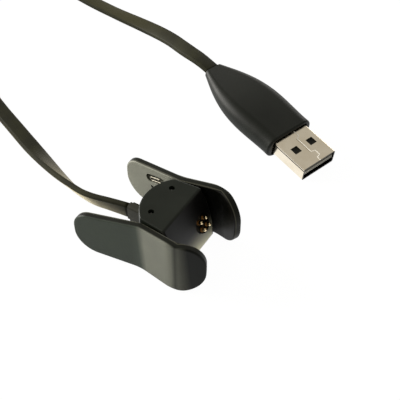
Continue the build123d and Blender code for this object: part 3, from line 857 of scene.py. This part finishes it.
def makeTie(settings, line):
    centre = Vector((pivotX + cable["coilX"], cable["coilY"])) * mm
    aim = math.radians(settings["directionDegrees"])
    outward = Vector((math.cos(aim), math.sin(aim), 0))
    upward = Vector((0, 0, 1))
    reach = cable["coilRadius"] * mm
    held = [
        spot for spot in line
        if abs((spot.xy - centre).length - reach) < settings["heldShare"] * reach
        and (spot.xy - centre).angle(outward.xy) < math.radians(settings["heldDegrees"])
    ]
    distance = sum((spot.xy - centre).length for spot in held) / len(held)
    low = min(spot.z for spot in held)
    high = max(spot.z for spot in held)
    middle = Vector((*centre, (low + high) / 2)) + outward * distance
    gap = settings["clearance"] + settings["thickness"] / 2
    halfWide = cable["width"] / 2 + gap
    halfTall = (high - low) / mm / 2 + cable["thickness"] / 2 + gap
    steps = settings["cornerSteps"]
    path = []
    for corner in range(settings["corners"]):
        sideways, upwards, start = corners[corner % len(corners)]
        for step in range(steps + 1):
            angle = math.radians(start + 90 * step / steps)
            radius = settings["round"] + settings["lap"] * (corner + step / steps) / len(corners)
            wide = sideways * (halfWide - settings["round"]) + radius * math.cos(angle)
            tall = upwards * (halfTall - settings["round"]) + radius * math.sin(angle)
            path.append(middle + (outward * wide + upward * tall) * mm)
    builder = bmesh.new()
    section = roundedSection(
        settings["thickness"], settings["width"], settings["edgeRound"], settings["edgeSteps"])
    sweepPath(builder, path, section, outward.cross(upward))
    return newPiece("coilTie", builder, "tie_tape")


# the joint of the plug's bent sheet: a fine ridge with two locks, painted pale as a highlight
seam = {
    "top": plug["shellHeight"] / 2,
    "path": (
        (0.0, 1.35), (2.1, 1.30), (2.4, 0.2), (8.3, 0.2), (8.6, 1.45), (10.4, 1.45), (10.7, 0.2),
        (11.95, 0.2)),
    "section": ((-0.14, -0.05), (-0.13, 0.03), (-0.05, 0.06), (0.05, 0.06), (0.13, 0.03), (0.14, -0.05)),
}


def makeSeam(settings):
    builder = bmesh.new()
    path = [plugPoint(x, y, settings["top"]) for x, y in settings["path"]]
    sweepPath(builder, path, settings["section"], plugFrame.to_3x3() @ Vector((0, 0, 1)))
    return newPiece("shellSeam", builder, "seam_edge", smooth=False)


# fine ribs on the end of the tongue
tongueEnd = {
    "x": 11.3,
    "low": -0.40,
    "high": 0.72,
    "half": 5.25,
    "ribs": 26,
    "section": ((-0.14, -0.06), (-0.14, 0.42), (-0.06, 0.5), (0.06, 0.5), (0.14, 0.42), (0.14, -0.06)),
}


def makeTongueEnd(settings):
    builder = bmesh.new()
    pitch = 2 * settings["half"] / (settings["ribs"] - 1)
    nose = plugFrame.to_3x3() @ Vector((1, 0, 0))
    for number in range(settings["ribs"]):
        across = -settings["half"] + pitch * number
        path = [plugPoint(settings["x"], across, settings[end]) for end in ("low", "high")]
        sweepPath(builder, path, settings["section"], nose)
    return newPiece("tongueRibs", builder, "rib_plastic", smooth=False)


makeCable(cable)
print("cable and plug ready")


def copyNode(node, name, body=rootBody):
    slot = next(part["material_slot"] for part in frame["record"]["subparts"] if part["node"] == node)
    builder = bmesh.new()
    builder.from_mesh(nodes[node].data)
    piece = newPiece(name, builder, slot, body)
    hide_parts(node)
    return piece


def makeSprings():
    for side in ("left", "right"):
        spring = copyNode(f"{side}_torsion_spring", f"{side}ArmSpring", body=None)
        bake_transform(spring)
    # the contacts' springs, one for each sliding joint, copied with meshes of their own
    slides = [joint for joint in frame["record"]["behaviour"]["joints"] if joint["type"] == "slide"]
    for number, joint in enumerate(slides, 1):
        node = joint["deforming_nodes"][0]["node"]
        spring = copyNode(node, f"contactSpring{number}")
        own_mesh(spring)


makeSprings()
print("springs ready")


table = {
    "halfSize": 3.0,                # metres
    "colour": (0.86, 0.86, 0.85),
    "rough": 0.6,
    "glow": 1.035,
    "glowShare": 0.94,
}


def makeTable(settings):
    builder = bmesh.new()
    bmesh.ops.create_grid(builder, x_segments=1, y_segments=1, size=settings["halfSize"])
    mesh = bpy.data.meshes.new("tableTop")
    builder.to_mesh(mesh)
    builder.free()
    top = placeObject("tableTop", mesh)
    material, tree, shader = newMaterial("tableWhite")
    shader.inputs["Base Color"].default_value = opaque(settings["colour"])
    shader.inputs["Roughness"].default_value = settings["rough"]
    rays = addNode(tree, "ShaderNodeLightPath")
    glow = addNode(tree, "ShaderNodeEmission")
    glow.inputs["Color"].default_value = (1, 1, 1, 1)
    glow.inputs["Strength"].default_value = settings["glow"]
    mix = addNode(tree, "ShaderNodeMixShader")
    seen = calc(tree, "MAXIMUM", rays.outputs["Is Camera Ray"], rays.outputs["Is Glossy Ray"])
    seen = calc(tree, "MAXIMUM", seen, rays.outputs["Is Transmission Ray"])
    link(tree, times(tree, seen, settings["glowShare"]), mix.inputs[0])
    link(tree, shader.outputs[0], mix.inputs[1])
    link(tree, glow.outputs[0], mix.inputs[2])
    link(tree, mix.outputs[0], tree.nodes["Material Output"].inputs["Surface"])
    mesh.materials.append(material)


room = {"colour": (1.0, 0.96, 0.88), "level": 0.48}


def makeWorld(settings):
    world = bpy.data.worlds.new("studio")
    bpy.context.scene.world = world
    world.use_nodes = True
    tree = world.node_tree
    lit = tree.nodes["Background"]
    lit.inputs["Color"].default_value = opaque(settings["colour"])
    lit.inputs["Strength"].default_value = settings["level"]
    white = addNode(tree, "ShaderNodeBackground")
    white.inputs["Color"].default_value = (1, 1, 1, 1)
    rays = addNode(tree, "ShaderNodeLightPath")
    mix = addNode(tree, "ShaderNodeMixShader")
    link(tree, rays.outputs["Is Camera Ray"], mix.inputs[0])
    link(tree, lit.outputs[0], mix.inputs[1])
    link(tree, white.outputs[0], mix.inputs[2])
    link(tree, mix.outputs[0], tree.nodes["World Output"].inputs["Surface"])


# angles in degrees, distances and sizes in metres
lampAim = Vector((0, 0.02, 0.01))
lamps = {
    "leftSoftbox": {
        "azimuth": 190, "height": 15, "distance": 0.6, "size": (0.45, 0.3), "power": 7.0,
        "colour": (1.0, 0.97, 0.93)},
    "backSoftbox": {
        "azimuth": 105, "height": 12, "distance": 0.7, "size": (0.6, 0.2), "power": 1.2,
        "colour": (1.0, 0.97, 0.92)},
}


def makeLamp(name, azimuth, height, distance, size, power, colour):
    data = bpy.data.lights.new(name, "AREA")
    data.shape = "RECTANGLE"
    data.size, data.size_y = size
    data.energy = power
    data.color = colour
    lamp = placeObject(name, data)
    turn = math.radians(azimuth)
    rise = math.radians(height)
    way = Vector((math.cos(rise) * math.cos(turn), math.cos(rise) * math.sin(turn), math.sin(rise)))
    lamp.location = lampAim + way * distance
    lamp.rotation_euler = way.to_track_quat("Z", "Y").to_euler()


makeTable(table)
makeWorld(room)
for name, settings in lamps.items():
    makeLamp(name, **settings)
bpy.context.scene.view_settings.view_transform = "Standard"
print("table and lamps ready")
